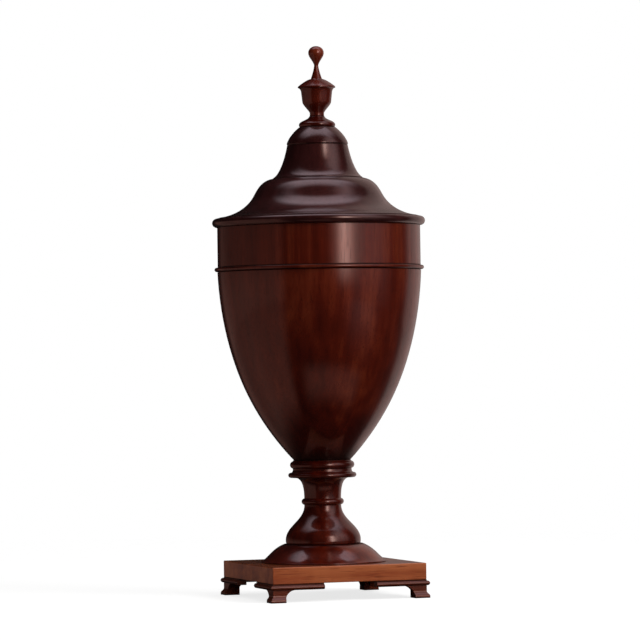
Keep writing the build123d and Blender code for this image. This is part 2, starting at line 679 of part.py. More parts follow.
def lid_bell():
    """Flared bell with a spigot below, a mortise for the stem and a socket for the cap."""
    base = (BELL_BASE_RADIUS, CROWN_TOP + BELL_FILLET)
    bell = turned(
        (0, CROWN_CEILING),
        [(BELL_SPIGOT_RADIUS, CROWN_CEILING)],
        [(BELL_SPIGOT_RADIUS, CROWN_TOP)],
        [(BELL_BASE_RADIUS, CROWN_TOP)],
        [base],
        pulled(base, (BELL_TOP_RADIUS, BELL_TOP), BELL_PULLS),
        [(CAP_TENON_RADIUS, BELL_TOP)],
        [(CAP_TENON_RADIUS, BELL_TOP - CAP_TENON_LENGTH)],
        [(0, BELL_TOP - CAP_TENON_LENGTH)],
    )
    bell -= bar(STEM_SIDE, CROWN_CEILING, STEM_TOP)
    for place in head_screw_places():
        bell -= place * rod(HEAD_SCREW_RADIUS, 0, HEAD_SCREW_LENGTH)
    return bell


def lid_cap():
    """Dome over the bell, set off by a quirk, with a tenon below and a socket above."""
    quirk_radius = CAP_RADIUS - CAP_QUIRK
    base = (CAP_RADIUS, BELL_TOP + CAP_QUIRK)
    spigot_bottom = RING_TOP - FINIAL_SPIGOT_LENGTH
    return turned(
        (0, BELL_TOP - CAP_TENON_LENGTH),
        [(CAP_TENON_RADIUS, BELL_TOP - CAP_TENON_LENGTH)],
        [(CAP_TENON_RADIUS, BELL_TOP)],
        [(quirk_radius, BELL_TOP)],
        [(quirk_radius, BELL_TOP + CAP_QUIRK)],
        [base],
        pulled(base, (RING_RADIUS, CAP_TOP), CAP_PULLS),
        [(FINIAL_SPIGOT_RADIUS, CAP_TOP)],
        [(FINIAL_SPIGOT_RADIUS, spigot_bottom)],
        [(0, spigot_bottom)],
    )


def finial_ring():
    edge = (RING_RADIUS, CAP_TOP + RING_EDGE)
    return turned(
        (FINIAL_SPIGOT_RADIUS, CAP_TOP),
        [(RING_RADIUS - RING_BULGE, CAP_TOP)],
        [(RING_RADIUS, CAP_TOP + RING_EDGE / 2), edge],
        pulled(edge, (RING_TOP_RADIUS, RING_TOP), RING_PULLS),
        [(FINIAL_SPIGOT_RADIUS, RING_TOP)],
    )


def finial():
    """Cup with a sharp rim and a domed cover, a thin spire and an inverted-pear knob."""
    neck = (CUP_NECK_RADIUS, RING_TOP + CUP_NECK_HEIGHT)
    belly = (CUP_BELLY_RADIUS, neck[1] + CUP_BELLY_HEIGHT)
    side = (CUP_SIDE_RADIUS, belly[1] + CUP_SIDE_HEIGHT)
    rim = (CUP_RIM_RADIUS, side[1] + CUP_COVE_HEIGHT)
    cover = (CUP_RIM_RADIUS, rim[1] + CUP_RIM_THICKNESS)
    dome = (DOME_RADIUS, cover[1] + DOME_HEIGHT)
    spire = (SPIRE_RADIUS, dome[1] + SPIRE_HEIGHT)
    knob = (KNOB_RADIUS, spire[1] + KNOB_LOWER_HEIGHT)
    tip = (0, knob[1] + KNOB_UPPER_HEIGHT)
    spigot_bottom = RING_TOP - FINIAL_SPIGOT_LENGTH
    return turned(
        (0, spigot_bottom),
        [(FINIAL_SPIGOT_RADIUS, spigot_bottom)],
        [(FINIAL_SPIGOT_RADIUS, RING_TOP)],
        [(CUP_NECK_RADIUS, RING_TOP)],
        [neck],
        pulled(neck, belly, CUP_BELLY_PULLS),
        [side],
        pulled(side, rim, CUP_COVE_PULLS),
        [cover],
        pulled(cover, dome, DOME_PULLS),
        pulled(dome, spire, SPIRE_PULLS),
        pulled(spire, knob, KNOB_LOWER_PULLS),
        pulled(knob, tip, KNOB_UPPER_PULLS),
    )


def head_plate():
    """Round board that clamps the crown between itself and the bell, round the stem."""
    plate = rod(HEAD_PLATE_RADIUS, HEAD_PLATE_BOTTOM, CROWN_CEILING)
    plate -= bar(STEM_SIDE, HEAD_PLATE_BOTTOM, CROWN_CEILING)
    head_radius = HEAD_SCREW_RADIUS * SCREW_HEAD_SHARE
    for place in head_screw_places():
        plate -= place * rod(head_radius, -head_radius, 0)
        plate -= place * rod(HEAD_SCREW_RADIUS, 0, HEAD_SCREW_LENGTH)
    return plate


def head_plate_screws():
    piece = screw(HEAD_SCREW_RADIUS, HEAD_SCREW_LENGTH)
    return [place * piece for place in head_screw_places()]


def leaf_screw_place():
    """Place of the spring's screw, on the leaf's front, shank towards the back."""
    return Pos(0, MORTISE_BACK - LEAF_THICKNESS, LEAF_SCREW_HEIGHT) * Rot(-90, 0, 0)


def lid_stem():
    """Square bar with a mortise in its front for the catch, and holes for pin and screws."""
    stem = bar(STEM_SIDE, STEM_BOTTOM, STEM_TOP)
    mortise = Box(MORTISE_WIDTH, MORTISE_DEPTH, MORTISE_TOP - MORTISE_BOTTOM)
    middle = (MORTISE_BOTTOM + MORTISE_TOP) / 2
    stem -= Pos(0, MORTISE_BACK - MORTISE_DEPTH / 2, middle) * mortise
    stem -= catch_pin_place() * Cylinder(CATCH_PIN_RADIUS, STEM_SIDE)
    stem -= leaf_screw_place() * rod(LEAF_SCREW_RADIUS, 0, LEAF_SCREW_LENGTH)
    screw_top = STEM_BOTTOM - STOP_THICKNESS + STOP_SCREW_LENGTH
    return stem - rod(STOP_SCREW_RADIUS, STEM_BOTTOM, screw_top)


def catch_pin_place():
    """Place of the catch's pin, across the stem."""
    return Pos(0, CATCH_PIVOT[0], CATCH_PIVOT[1]) * Rot(0, 90, 0)


def catch_pin():
    return catch_pin_place() * Cylinder(CATCH_PIN_RADIUS, STEM_SIDE - 2 * PIN_RECESS)


def spring_catch():
    """Steel tongue with an eye at the top; its foot is cut to sit level when swung out."""
    foot_rise = CATCH_DEPTH * math.tan(math.radians(CATCH_SWING))
    pivot_y, pivot_z = CATCH_PIVOT
    side = outline(
        (CATCH_FRONT, CATCH_FOOT),
        [(CATCH_FRONT, pivot_z)],
        [(pivot_y, pivot_z + CATCH_EYE_RADIUS), (pivot_y + CATCH_EYE_RADIUS, pivot_z)],
        [(CATCH_BACK, CATCH_FOOT + foot_rise)],
    )
    tongue = extrude(Plane.YZ * side, CATCH_WIDTH / 2, both=True)
    return tongue - catch_pin_place() * Cylinder(CATCH_PIN_RADIUS + PIN_CLEARANCE, CATCH_WIDTH)


def catch_spring():
    """Leaf screwed to the back of the mortise, bowed forward towards the catch."""
    back = MORTISE_BACK
    front = back - LEAF_THICKNESS
    low = MORTISE_BOTTOM + LEAF_THICKNESS
    bend = CATCH_FOOT
    top = low + LEAF_LENGTH
    middle = (bend + top) / 2
    leaf = outline(
        (back, low),
        [(back, bend)],
        [(back - LEAF_BOW, middle), (back - LEAF_REACH, top)],
        [(front - LEAF_REACH, top)],
        [(front - LEAF_BOW, middle), (front, bend)],
        [(front, low)],
    )
    strip = extrude(Plane.YZ * leaf, LEAF_WIDTH / 2, both=True)
    return strip - leaf_screw_place() * rod(LEAF_SCREW_RADIUS, 0, LEAF_SCREW_LENGTH)


def catch_spring_screw():
    return leaf_screw_place() * screw(LEAF_SCREW_RADIUS, LEAF_SCREW_LENGTH)


def stop_plate():
    """Square plate that meets the guide block's foot when the lid is up."""
    bottom = STEM_BOTTOM - STOP_THICKNESS
    return bar(STOP_SIDE, bottom, STEM_BOTTOM) - rod(STOP_SCREW_RADIUS, bottom, STEM_BOTTOM)


def stop_screw():
    underside = Pos(0, 0, STEM_BOTTOM - STOP_THICKNESS)
    return underside * screw(STOP_SCREW_RADIUS, STOP_SCREW_LENGTH)


def all_pieces():
    """Every node's name with its solid or its list of separate solids."""
    pieces = bracket_feet()
    makers = (
        corner_blocks, plinth_slab, fixing_washer, fixing_screw, spreading_foot, socle_stem,
        socle_collar, bowl, astragal_bead, frieze_band, tier_stringing, outer_tier_board,
        middle_tier_board, inner_tier_board, middle_riser, inner_riser, guide_block, guide_plate,
        guide_plate_screws, lid_rim, locating_ring, lid_shoulder, lid_bell, lid_cap, finial_ring,
        finial, head_plate, head_plate_screws, lid_stem, catch_pin, spring_catch, catch_spring,
        catch_spring_screw, stop_plate, stop_screw,
    )
    for maker in makers:
        pieces[maker.__name__] = maker()
    return pieces


os.makedirs("parts", exist_ok=True)
for name, shape in all_pieces().items():
    solids = shape if isinstance(shape, list) else [shape]
    loose = [solid for piece in solids for solid in piece.solids()]
    export_step(Compound(loose), f"parts/{name}.step")
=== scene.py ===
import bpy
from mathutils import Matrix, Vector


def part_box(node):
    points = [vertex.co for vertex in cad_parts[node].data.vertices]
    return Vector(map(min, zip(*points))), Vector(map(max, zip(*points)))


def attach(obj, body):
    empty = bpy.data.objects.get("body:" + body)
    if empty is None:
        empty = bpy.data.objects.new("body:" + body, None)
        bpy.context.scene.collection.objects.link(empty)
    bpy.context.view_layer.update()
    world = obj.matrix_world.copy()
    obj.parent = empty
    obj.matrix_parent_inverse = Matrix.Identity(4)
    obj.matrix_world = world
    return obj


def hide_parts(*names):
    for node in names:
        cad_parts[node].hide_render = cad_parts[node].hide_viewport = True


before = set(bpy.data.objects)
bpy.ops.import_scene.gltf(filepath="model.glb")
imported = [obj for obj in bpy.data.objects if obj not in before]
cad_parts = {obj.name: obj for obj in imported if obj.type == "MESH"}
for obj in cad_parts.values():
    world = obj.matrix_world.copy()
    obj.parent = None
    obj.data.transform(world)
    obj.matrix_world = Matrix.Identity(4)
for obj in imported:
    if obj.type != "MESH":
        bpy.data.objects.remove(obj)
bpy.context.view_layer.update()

import math
from typing import NamedTuple

import bmesh
import bpy
from bpy.props import FloatProperty, FloatVectorProperty, IntProperty, PointerProperty
from mathutils import Matrix, Vector

bl_info = {
    "name": "Knife urn",
    "version": (1, 0, 0),
    "blender": (4, 5, 0),
    "location": "3D View > Sidebar > Knife urn",
    "description": "Dresses the packed knife urn: turned mahogany, its stand, tiers and lift",
    "category": "Object",
}

# Meshes: metres and degrees
FULL_TURN = 2 * math.pi
SHARP = 32                  # a sharper edge is an arris
FLAT = 0.5                  # faces that turn less than this are one face
WELD = 2e-6                 # corners this close are one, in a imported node
OUTLINE_WELD = 4e-6         # and in an outline cut from it
POLE_WELD = 1e-6            # and where a spun outline closes
ON_PLANE = 1e-7             # a corner this near the cut lies on it
ON_AXIS = 1e-5              # a corner this near the axis stays a point
FACES_IN = -0.05            # an inner face looks towards the axis by more than this share
EASED_STEPS = 2             # segments of an eased edge
WAX_AND_SHADE_WIDTH = 0.0012                # how far old wax and painted shade reach from a joint


class Layer(NamedTuple):
    """A layer of noise in a finish."""

    scale: float            # cells to the metre
    stretch: float = 1.0    # less than 1 draws it out along the grain
    detail: float = 2.0
    roughness: float = 0.5
    share: float = 0.0      # how much it moves what it acts on


# Wood: how the log bends, and what its figure, pores, old wax with painted shade, and painted light
# look like
DRIFT = Layer(7.0, stretch=0.35, detail=1.5, share=0.035)
BEND = Layer(16.0, stretch=0.5, share=0.006)
BEND_ACROSS = 0.010
RINGS = Layer(260.0, detail=3.0, roughness=0.65, share=0.14)
RIBBON = Layer(34.0, stretch=0.06, detail=2.5, roughness=0.55, share=0.70)
STRIPE = Layer(110.0, stretch=0.04, detail=1.5, share=0.45)
CLOUD = Layer(11.0, stretch=0.6, share=0.45)
FLAME = Layer(60.0, detail=1.0, share=0.12)
FLAME_WIDTH = 0.35
FIBRE = Layer(1500.0, stretch=0.03, roughness=0.7, share=0.20)
PORES = Layer(900.0, stretch=0.045, detail=1.0, share=0.55)
PORE_EDGE = (0.60, 0.70)
SMEAR = Layer(28.0, detail=3.0, roughness=0.6)
GRIT = Layer(420.0, roughness=0.6)
TONE_STOPS = (0.16, 0.50, 0.86)
LINE_TONES = (0.7, 1.0, 1.15)
WAX_AND_SHADE_LEAST = 0.55
WAX_AND_SHADE_SMEARED = 0.7
WOOD_ROUGHNESS = {"polished": 0.27, "smear": 0.16, "pores": 0.10, "bare": 0.28, "wax_and_shade": 0.25}
WOOD_RELIEF = {"pores": -0.35, "fibre": 0.10, "smear": 1.1, "grit": 0.06, "strength": 0.35}
POLISHED_DEPTH = 0.00012
BARE_DEPTH = 0.00020
COAT_LOST = {"pores": 0.35, "wax_and_shade": 0.9}
VARNISH = {
    "Coat Roughness": 0.11, "Coat IOR": 1.5, "IOR": 1.5, "Specular IOR Level": 0.22,
    "Specular Tint": (1.0, 0.42, 0.30, 1.0),
}

# Painted light: the vase is lighter above a height over its foot, so that its foot keeps a painted
# shade, and the finial is lighter near its top as a painted highlight; as heights from their ends,
# and by how much
VASE_PAINTED_SHADE = 0.09
FINIAL_PAINTED_HIGHLIGHT = (0.045, 0.012)
PAINTED_LIGHT_AMOUNT = 0.36

# Metal: dulled patches and fine scratches
PATCHES = Layer(90.0, detail=4.0, roughness=0.65, share=0.75)
PATCH_EDGE = (0.42, 0.66)
SCRATCHES = Layer(2600.0, roughness=0.7)
METAL_ROUGHNESS = {"bright": 0.22, "patches": 0.26, "scratches": 0.14}
METAL_RELIEF = {"patches": 0.6, "strength": 0.25, "depth": 0.00002}
METALLIC = {"bright": 0.78, "dulled": -0.33}

# What polish mirrors, in degrees: turn from the camera's side, right being positive, and rise
STRIP_NEAR, STRIP_FAR, STRIP_RISE = (8, 28), (29, 58), (-2, 34, 8)
STRIP_HALO, STRIP_CORE = 0.3, 5.0
SCREEN_TURN, SCREEN_FOOT, SCREEN_TOP = (36, 80, 18), (-26, 36), (45, 66)
OVERHEAD_TURN, OVERHEAD_SIDES, OVERHEAD_FOOT = (-20, 14, 9), (0.3, 0.75), (0.0, 0.2)
BACKDROP_TURN, BACKDROP_BEHIND, BACKDROP_RISE = (112, 126), (160, 180), (-30, 55, 12)
BACKDROP_LOST = 0.6         # share that is gone straight behind
WALL_TURN, WALL_TOP, WALL_FOOT = (-150, -42, 6), (-0.15, 0.2), (-0.9, -0.75)
WALL_DARK_END, WALL_DARKEST = (-125, -85), 0.45

# What polish mirrors of the floor: turn, then how far out in metres, and how strongly
FRONT_TURN, FRONT_OUT, FRONT_LEVEL = (-22, 56, 10), (0.25, 0.42, 0.06), 1.15
RIGHT_TURN, RIGHT_OUT, RIGHT_LEVEL = (34, 66, 12), (0.35, 1.2), 0.28
LEFT_TURN, LEFT_OUT, LEFT_LEVEL = (-150, -42, 7), (0.14, 0.3), 1.25
BACK_TURN, BACK_OUT, BACK_LEVEL = (112, 128), (0.12, 0.3), 1.5

# Stage
FLOOR_SIDES = 96
FLOOR_GLOW = 1.55           # brings the lit paper up to white
FLOOR_GLOW_SHARE = 0.5      # the rest is paper, and takes the urn's shadow
FLOOR_FADE = (0.15, 0.95)   # shares of the floor's radius
FILL_AHEAD, FILL_RIGHT = 0.64, 0.77    # the way that the fill leans
LAMP_TINT = (1.0, 0.985, 0.97)
LAMP_AIM = 0.33             # height on the axis that the lamps face


def tone(name, red, green, blue, text):
    """A colour that the user can change."""
    return FloatVectorProperty(
        name=name, description=text, subtype="COLOR", size=3, min=0, max=1,
        default=(red, green, blue),
    )


def length(name, default, text):
    """A size in metres that the user can change."""
    return FloatProperty(name=name, description=text, default=default, min=0, unit="LENGTH",
                         precision=5)


def share(name, default, text):
    """A share from 0 to 1 that the user can change."""
    return FloatProperty(name=name, description=text, default=default, min=0, max=1,
                         subtype="FACTOR")


class UrnShape(bpy.types.PropertyGroup):
    """How finely the turned pieces are made."""

    facets: IntProperty(name="Facets", description="Steps of each full turn",
                        default=126, min=24, max=360)
    softness: length("Edge softness", 0.0005, "How far a worn arris is rounded")
    slab_easing: length("Slab easing", 0.0007, "How far the slab's edges are eased")
    rounding: IntProperty(name="Rounding steps", description="Steps of each rounded arris",
                          default=3, min=1, max=6)


class UrnColours(bpy.types.PropertyGroup):
    """Tones of the woods and metals."""

    body_dark: tone("Body, dark", 0.032, 0.0018, 0.0005, "Darkest streaks of the urn's wood")
    body_mid: tone("Body, middle", 0.074, 0.0058, 0.0015, "Usual tone of the urn's wood")
    body_light: tone("Body, light", 0.150, 0.021, 0.0062, "Lightest streaks of the urn's wood")
    lid_dark: tone("Lid, dark", 0.010, 0.0016, 0.0018, "Darkest streaks of the lid's wood")
    lid_mid: tone("Lid, middle", 0.0215, 0.0039, 0.0041, "Usual tone of the lid's wood")
    lid_light: tone("Lid, light", 0.042, 0.0085, 0.0085, "Lightest streaks of the lid's wood")
    stand_dark: tone("Stand, dark", 0.11, 0.018, 0.006, "Darkest streaks of the stand's wood")
    stand_mid: tone("Stand, middle", 0.29, 0.062, 0.018, "Usual tone of the stand's wood")
    stand_light: tone("Stand, light", 0.46, 0.13, 0.042, "Lightest streaks of the stand's wood")
    # The feet's tones are darker than the slab's: painted shade under the slab
    foot_dark: tone("Feet, dark", 0.035, 0.0045, 0.002, "Darkest streaks of the bracket feet")
    foot_mid: tone("Feet, middle", 0.100, 0.017, 0.006, "Usual tone of the bracket feet")
    foot_light: tone("Feet, light", 0.200, 0.048, 0.018, "Lightest streaks of the bracket feet")
    inner_dark: tone("Inside, dark", 0.11, 0.028, 0.010, "Darkest streaks of the unpolished wood")
    inner_mid: tone("Inside, middle", 0.29, 0.100, 0.038, "Usual tone of the unpolished wood")
    inner_light: tone("Inside, light", 0.45, 0.19, 0.080, "Lightest streaks of the unpolished wood")
    line_tone: tone("Lines", 0.62, 0.43, 0.20, "Boxwood of the light lines")
    # Dark colour of old wax in the joints, used also as painted shade: wide at the bowl's foot, and
    # at the feet under the slab and on the floor
    wax_and_shade: tone("Grime", 0.006, 0.0035, 0.0028, "Old wax in the joints")
    brass_tone: tone("Brass", 0.78, 0.50, 0.17, "Polished brass")
    tarnish: tone("Tarnish", 0.34, 0.19, 0.065, "Brass where it has dulled")
    steel_tone: tone("Steel", 0.52, 0.50, 0.48, "Filed steel")
    rust: tone("Steel, dulled", 0.22, 0.16, 0.12, "Steel where it has dulled")
    floor_tone: tone("Floor", 0.80, 0.80, 0.80, "The floor under the urn")
    strip_tone: tone("Strip light", 1.0, 0.68, 0.60, "Narrow light in polish, to the right")
    screen_tone: tone("Screen", 1.0, 0.74, 0.75, "Broad light in polish, to the right")
    overhead_tone: tone("Overhead light", 1.0, 0.84, 0.95, "Light in polish, from above")
    backdrop_tone: tone("Backdrop", 0.42, 0.31, 0.29, "Pale surroundings in polish")
    wall_tone: tone("Left wall", 0.44, 0.21, 0.17, "Surroundings in polish, low on the left")


class UrnStudio(bpy.types.PropertyGroup):
    """Camera and lights."""

    camera_distance: length("Camera distance", 4.1, "From the urn's axis")
    camera_height: length("Camera height", 0.258, "Above the floor")
    camera_turn: FloatProperty(name="Camera turn", subtype="ANGLE", default=math.radians(-19),
                               description="Round the urn from the front, left being negative")
    camera_roll: FloatProperty(name="Camera roll", subtype="ANGLE", default=math.radians(-0.86),
                               description="The photograph leans a little")
    aim_height: length("Aim height", 0.3045, "Height that the camera looks at")
    lens: FloatProperty(name="Lens", description="Focal length in millimetres", default=209,
                        min=10)
    fill: share("Fill", 0.43, "Grey level of the light from all round")
    lean: share("Fill lean", 0.80, "How much more of the fill comes from the right")
    shade: share("Shaded side", 0.006, "What polish mirrors where no light stands")
    strip: FloatProperty(name="Strip light", default=5.6, min=0, description="Strength in polish")
    screen: FloatProperty(name="Screen", default=1.3, min=0, description="Strength in polish")
    overhead: FloatProperty(name="Overhead light", default=1.9, min=0,
                            description="Strength in polish")
    floor_bounce: share("Floor bounce", 0.10, "How pale the floor is to light")
    floor_mirrored: share("Floor in polish", 0.02, "How pale the floor is in polish")
    floor_radius: length("Floor radius", 1.6, "Where the floor has faded out")


# Material nodes

class Flow:
    """A value on its way through a material's nodes. Its operators add Math nodes."""

    def __init__(self, nodes, socket):
        self.nodes = nodes
        self.socket = socket

    def calc(self, operation, *others):
        """Adds one Math node."""
        values = dict(enumerate((self, *others)))
        return self.nodes.add("ShaderNodeMath", {"operation": operation}, values)

    def __add__(self, other):
        return self.calc("ADD", other)

    __radd__ = __add__

    def __mul__(self, other):
        return self.calc("MULTIPLY", other)

    __rmul__ = __mul__

    def __sub__(self, other):
        return self.calc("SUBTRACT", other)

    def __rsub__(self, other):
        return self.nodes.add("ShaderNodeMath", {"operation": "SUBTRACT"}, {0: other, 1: self})

    def __pow__(self, other):
        return self.calc("POWER", other)

    def __abs__(self):
        return self.calc("ABSOLUTE")

    def __gt__(self, other):
        return self.calc("GREATER_THAN", other)

    def above(self, low, high):
        """0 below low, 1 above high, and a smooth step between."""
        settings = {"interpolation_type": "SMOOTHSTEP"}
        return self.nodes.add("ShaderNodeMapRange", settings, {0: self, 1: low, 2: high})

    def band(self, low, high, soft):
        """1 between low and high, and 0 beyond them, with soft edges."""
        return self.above(low - soft, low + soft) * (1.0 - self.above(high - soft, high + soft))

    def larger(self, other):
        """The larger of two values."""
        return self.calc("MAXIMUM", other)

    def degrees_from(self, other):
        """The angle whose tangent is this value over the other, all round."""
        return self.calc("ARCTAN2", other) * math.degrees(1)

    def between(self, first, second):
        """The first value where this is 0, and the second where it is 1."""
        return first + self * (second - first)


class Nodes:
    """A node tree that is built by one method."""

    def __init__(self, tree):
        self.tree = tree
        tree.nodes.clear()

    def add(self, kind, settings=None, values=None, output=0):
        """Adds a node, sets its settings first and then its sockets, and gives one output."""
        node = self.tree.nodes.new(kind)
        for name, setting in (settings or {}).items():
            if name == "stops":
                self.set_stops(node.color_ramp, setting)
            else:
                setattr(node, name, setting)
        for key, value in (values or {}).items():
            if isinstance(value, Flow):
                self.tree.links.new(value.socket, node.inputs[key])
            else:
                node.inputs[key].default_value = value
        if not node.outputs:
            return None
        return Flow(self, node.outputs[output])

    @staticmethod
    def set_stops(ramp, stops):
        """Gives a colour ramp its stops."""
        while len(ramp.elements) < len(stops):
            ramp.elements.new(1.0)
        for element, (position, colour) in zip(ramp.elements, stops):
            element.position = position
            element.color = (*colour, 1.0)

    def mix(self, factor, first, second):
        """Colour between two colours. A Mix node has them in sockets 6 and 7, and gives output 2."""
        colours = [value if isinstance(value, Flow) else (*value, 1.0) for value in (first, second)]
        values = {0: factor, 6: colours[0], 7: colours[1]}
        return self.add("ShaderNodeMix", {"data_type": "RGBA"}, values, output=2)

    def vector(self, x, y, z):
        """Three values as a vector or a colour."""
        return self.add("ShaderNodeCombineXYZ", None, {0: x, 1: y, 2: z})

    def parts(self, vector):
        """The three values of a vector."""
        return [self.add("ShaderNodeSeparateXYZ", None, {0: vector}, output=axis)
                for axis in range(3)]

    def place(self):
        """The three object coordinates."""
        return self.parts(self.add("ShaderNodeTexCoord", output="Object"))

    def ray(self, kind):
        """1 for one kind of ray, and 0 for the others."""
        return self.add("ShaderNodeLightPath", output=f"Is {kind} Ray")

    def noise(self, layer, first, second, along):
        """A layer of noise, drawn out along the grain."""
        return self.add("ShaderNodeTexNoise", {"noise_dimensions": "3D"}, {
            "Vector": self.vector(first, second, along * layer.stretch), "Scale": layer.scale,
            "Detail": layer.detail, "Roughness": layer.roughness,
        })

    def surface(self, kind, values):
        """Closes the tree with a shader."""
        shader = self.add(kind, None, values)
        self.add("ShaderNodeOutputMaterial", None, {"Surface": shader})


def new_material(name):
    """An empty material and its nodes."""
    material = bpy.data.materials.new(name)
    material.use_nodes = True
    return material, Nodes(material.node_tree)


def upright(x, y, z):
    """Grain that runs up, as on a piece turned between centres."""
    return x, y, z


def lengthwise(x, y, z):
    """Grain that runs across the front, as on a board."""
    return y, z, x


def framed(x, y, z):
    """Grain that runs along each side, with a mitre on the diagonals."""
    on_side = abs(x) > abs(y)
    along = x + on_side * (y - x)
    across = y + on_side * (x - y)
    return across, z, along


def bent_log(nodes, first, second, along):
    """The two places across the log, with its drift and bends."""
    drift = nodes.noise(DRIFT, first, second, along) - 0.5
    bend = nodes.noise(BEND, second, first, along) - 0.5
    return first + drift * DRIFT.share + bend * BEND.share, second + bend * BEND_ACROSS


def figure(nodes, first, second, along, fibre):
    """How much lighter or darker the growth rings, ribbons, stripes and fibres make the wood."""
    first_bent, second_bent = bent_log(nodes, first, second, along)
    from_pith = (first_bent * first_bent + second_bent * second_bent) ** 0.5
    rings = nodes.add("ShaderNodeTexNoise", {"noise_dimensions": "1D"}, {
        "W": from_pith, "Scale": RINGS.scale, "Detail": RINGS.detail,
        "Roughness": RINGS.roughness,
    })
    layers = (
        (RINGS, rings),
        (RIBBON, nodes.noise(RIBBON, first_bent, second_bent, along)),
        (STRIPE, nodes.noise(STRIPE, first, second, along)),
        (CLOUD, nodes.noise(CLOUD, first, second, along)),
        (FLAME, nodes.noise(FLAME, first * FLAME_WIDTH, second * FLAME_WIDTH, along)),
        (FIBRE, fibre),
    )
    return sum((made - 0.5) * layer.share for layer, made in layers)


def wax_and_shade_in(creases, z, smear):
    """How much old wax and painted shade lie near the heights of the joints."""
    wax_and_shade_share = 0.0
    for height, width in creases:
        near = 1.0 - abs(z - height).above(0.0, width)
        wax_and_shade_share = near.larger(wax_and_shade_share)
    return wax_and_shade_share * (WAX_AND_SHADE_LEAST + smear * WAX_AND_SHADE_SMEARED)


def wood(name, tones, grain, shift, creases=(), polish=1.0, contrast=1.0, depth=0.0,
         painted_light_steps=()):
    """Polished or plain mahogany: growth rings, ribbon figure, fibres, pores, old wax, and painted
    shade and highlights.

    The shift is the piece's place in the log: two ways from the pith, and along the grain. A
    depth makes it darker, and each painted light step makes it lighter above a height: painted
    shade below that height at the bowl's foot, and a painted highlight above it on the finial.
    """
    material, nodes = new_material(name)
    x, y, z = nodes.place()
    first, second, along = (axis + step for axis, step in zip(grain(x, y, z), shift))
    fibre = nodes.noise(FIBRE, first, second, along)
    pores = nodes.noise(PORES, first, second, along).above(*PORE_EDGE)
    level = 0.5 - depth + contrast * figure(nodes, first, second, along, fibre)
    for low, high, amount in painted_light_steps:
        level = level + z.above(low, high) * amount
    stops = tuple(zip(TONE_STOPS, tones))
    shade = nodes.add("ShaderNodeValToRGB", {"stops": stops}, {0: level})
    shade = nodes.mix(pores * PORES.share, shade, tones[0])
    smear = nodes.noise(SMEAR, x, y, z)
    rough = WOOD_ROUGHNESS["polished"] + (1.0 - polish) * WOOD_ROUGHNESS["bare"]
    rough = rough + smear * WOOD_ROUGHNESS["smear"] + pores * WOOD_ROUGHNESS["pores"]
    coat = polish * (1.0 - pores * COAT_LOST["pores"]) if polish else 0.0
    # Darkening at the joints: old wax, and painted shade where the band is wide at the bowl's foot
    # and at the feet's top and bottom
    if creases:
        wax_and_shade_share = wax_and_shade_in(creases, z, smear)
        shade = nodes.mix(wax_and_shade_share, shade, tuple(bpy.context.scene.urn_colours.wax_and_shade))
        rough = rough + wax_and_shade_share * WOOD_ROUGHNESS["wax_and_shade"]
        coat = coat * (1.0 - wax_and_shade_share * COAT_LOST["wax_and_shade"])
    relief = {"pores": pores, "fibre": fibre, "smear": smear,
              "grit": nodes.noise(GRIT, x, y, z)}
    normal = nodes.add("ShaderNodeBump", None, {
        "Strength": WOOD_RELIEF["strength"],
        "Distance": POLISHED_DEPTH if polish > 0.5 else BARE_DEPTH,
        "Height": sum(made * WOOD_RELIEF[layer] for layer, made in relief.items()),
    })
    nodes.surface("ShaderNodeBsdfPrincipled", {
        "Base Color": shade, "Roughness": rough, "Coat Weight": coat, "Normal": normal, **VARNISH,
    })
    return material


def metal(name, bright, dull, brushed=1.0):
    """Old metal: dulled patches, and fine scratches that brushing draws out."""
    material, nodes = new_material(name)
    x, y, z = nodes.place()
    patches = nodes.noise(PATCHES, x, y, z).above(*PATCH_EDGE)
    scratches = nodes.noise(SCRATCHES._replace(stretch=brushed), x, y, z)
    rough = (METAL_ROUGHNESS["bright"] + patches * METAL_ROUGHNESS["patches"]
             + scratches * METAL_ROUGHNESS["scratches"])
    normal = nodes.add("ShaderNodeBump", None, {
        "Strength": METAL_RELIEF["strength"], "Distance": METAL_RELIEF["depth"],
        "Height": scratches + patches * METAL_RELIEF["patches"],
    })
    nodes.surface("ShaderNodeBsdfPrincipled", {
        "Base Color": nodes.mix(patches * PATCHES.share, bright, dull), "Roughness": rough,
        "Metallic": METALLIC["bright"] + patches * METALLIC["dulled"], "Normal": normal,
    })
    return material


def finish_with(name, material):
    """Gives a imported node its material."""
    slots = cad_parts[name].material_slots
    for slot in slots:
        slot.link = "OBJECT"
        slot.material = material


# Meshes

def section_of(node):
    """The outline of a turned node on its +X side, as a wire in the XZ plane."""
    wire = bmesh.new()
    wire.from_mesh(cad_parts[node].data)
    bmesh.ops.remove_doubles(wire, verts=wire.verts, dist=WELD)
    bmesh.ops.bisect_plane(
        wire, geom=[*wire.verts, *wire.edges, *wire.faces], dist=ON_PLANE,
        plane_co=(0, 0, 0), plane_no=(0, 1, 0), clear_inner=True, clear_outer=True,
    )
    outside = [vert for vert in wire.verts if vert.co.x < -ON_PLANE]
    bmesh.ops.delete(wire, geom=outside, context="VERTS")
    bmesh.ops.remove_doubles(wire, verts=wire.verts, dist=OUTLINE_WELD)
    return wire


def soften(wire):
    """Rounds the sharp corners of an outline."""
    shape = bpy.context.scene.urn_shape
    corners = []
    for vert in wire.verts:
        if len(vert.link_edges) != 2 or vert.co.x < ON_AXIS:
            continue
        ends = [edge.other_vert(vert).co - vert.co for edge in vert.link_edges]
        sharp = math.pi - ends[0].angle(ends[1]) > math.radians(SHARP)
        if sharp and min(end.length for end in ends) > shape.softness:
            corners.append(vert)
    bmesh.ops.bevel(
        wire, geom=corners, offset=shape.softness, affect="VERTICES", segments=shape.rounding,
        profile=0.5, material=-1, clamp_overlap=True,
    )


